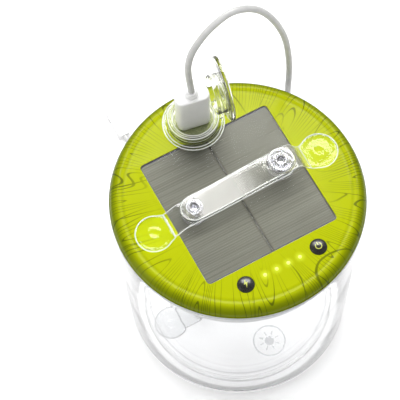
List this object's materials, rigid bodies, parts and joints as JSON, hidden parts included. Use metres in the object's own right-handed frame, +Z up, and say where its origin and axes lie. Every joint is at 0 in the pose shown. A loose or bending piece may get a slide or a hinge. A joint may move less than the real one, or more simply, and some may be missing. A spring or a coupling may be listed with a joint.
{
  "type": "inflatable solar lantern",
  "caption": "Collapsible inflatable solar lantern: lime top unit with a square panel, clear body, snap straps, keys and a charging port with its white cable plugged in.",
  "frame": {"origin": "centre of the round foot on the surface it stands on", "axes": "+Z up along the body, +Y towards the charging port, -Y towards the buttons, X along the straps"},
  "size_m": [0.1317, 0.2029, 0.2231],
  "materials": {
    "clear_film": "clear thin TPU film, glossy",
    "clear_strap": "clear moulded TPU strap, slightly hazy",
    "clear_moulding": "clear soft TPU moulding",
    "lime_film": "lime printed film under a glossy clear layer",
    "solar_cell": "grey solar cell with a fine line grid",
    "dark_board": "dark panel laminate",
    "white_plastic": "moulded white plastic",
    "diffuser": "milky light-diffusing plastic",
    "green_board": "solder-mask green circuit board",
    "bright_metal": "nickel-plated steel",
    "battery_foil": "laminated pouch foil",
    "foam": "black adhesive foam",
    "red_wire": "red wire insulation",
    "black_plastic": "black plastic",
    "led_package": "white LED package with yellow phosphor",
    "black_key": "domed black key",
    "white_cable": "white cable jacket and overmould"
  },
  "bodies": {
    "base": {"bottom_film": "clear_film", "base_ring": "clear_film", "clear_wall": "clear_film", "bottom_medallion": "clear_film", "bottom_pads": "clear_film", "bottom_strap_lower": "clear_strap", "bottom_snap_studs": "clear_strap", "valve_body": "clear_moulding", "cord_lead": "white_cable", "cord_coil": "white_cable", "cord_tail": "white_cable", "connector_body": "white_cable", "connector_tip": "bright_metal"},
    "top_unit": {"top_rim": "clear_film", "top_film": "lime_film", "panel_window": "clear_film", "solar_cells": "solar_cell", "panel_board": "dark_board", "deck_plate": "white_plastic", "lower_tray": "white_plastic", "light_diffuser": "diffuser", "circuit_board": "green_board", "board_screws": "bright_metal", "battery": "battery_foil", "battery_pad": "foam", "battery_leads": "red_wire", "panel_leads": "black_plastic", "lantern_leds": "led_package", "indicator_leds": "led_package", "light_pipes": "diffuser", "tact_switches": "black_plastic", "usb_socket_shell": "bright_metal", "usb_socket_tongue": "black_plastic", "port_gasket": "diffuser", "port_boss": "clear_moulding", "top_pads": "clear_film", "top_strap_lower": "clear_strap", "top_snap_studs": "clear_strap", "usb_plug_body": "white_cable", "usb_plug_collar": "white_cable", "usb_plug_shell": "bright_metal", "usb_plug_insert": "white_plastic"},
    "power_key": {"power_button": "black_key"},
    "charge_key": {"charge_button": "black_key"},
    "cap": {"port_cap": "clear_moulding"},
    "top_strap": {"top_strap_upper": "clear_strap", "top_snap_caps": "clear_strap"},
    "bottom_strap": {"bottom_strap_upper": "clear_strap", "bottom_snap_caps": "clear_strap"},
    "valve_stopper": {"valve_plug": "clear_moulding"}
  },
  "joints": [
    {"name": "collapse", "type": "slide", "parent": "base", "child": "top_unit", "axis": [0, 0, 1], "range_m": [-0.1, 0], "deforming": ["clear_wall", "cord_lead"]},
    {"name": "power_press", "type": "slide", "parent": "top_unit", "child": "power_key", "axis": [0, 0, -1], "range_m": [0, 0.0004], "stiffness_N_per_m": 3000, "springref_m": -0.0002},
    {"name": "charge_press", "type": "slide", "parent": "top_unit", "child": "charge_key", "axis": [0, 0, -1], "range_m": [0, 0.0004], "stiffness_N_per_m": 3000, "springref_m": -0.0002},
    {"name": "cap_hinge", "type": "hinge", "parent": "top_unit", "child": "cap", "pos_m": [0.01387, 0.0414, 0.1458], "axis": [0.1736, 0.9848, 0], "range_deg": [-5, 85]},
    {"name": "top_strap_lift", "type": "hinge", "parent": "top_unit", "child": "top_strap", "pos_m": [0.0377, 0, 0.13965], "axis": [0, 1, 0], "range_deg": [0, 110]},
    {"name": "bottom_strap_lift", "type": "hinge", "parent": "base", "child": "bottom_strap", "pos_m": [0.0377, 0, 0.00385], "axis": [0, -1, 0], "range_deg": [0, 110]},
    {"name": "valve_pull", "type": "slide", "parent": "base", "child": "valve_stopper", "axis": [0, 0, -1], "range_m": [0, 0.006]}
  ]
}
